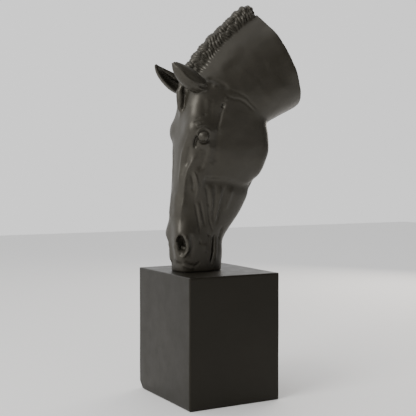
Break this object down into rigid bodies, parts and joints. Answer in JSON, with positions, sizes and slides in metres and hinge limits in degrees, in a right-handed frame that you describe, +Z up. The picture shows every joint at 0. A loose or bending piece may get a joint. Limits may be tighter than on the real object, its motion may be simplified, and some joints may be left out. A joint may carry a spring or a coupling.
{
  "type": "horse head sculpture",
  "caption": "Cast horse's head with a plaited mane and cut-off neck, standing on its muzzle on a tall square block; a dark matte table ornament.",
  "frame": {"origin": "middle of the block's underside, on the surface that the ornament stands on", "axes": "+Z up; the forehead faces -X and the neck runs back towards +X; the horse's left side is -Y"},
  "size_m": [0.1914, 0.143, 0.5013],
  "materials": {
    "head_resin": "satin black cast resin, slightly warm, with a soft sheen on the raised forms",
    "block_resin": "matte black cast resin, smooth by hand, with a faint sheen at grazing angles"
  },
  "bodies": {
    "root": {"horse_head": "head_resin", "block": "block_resin"}
  },
  "joints": []
}
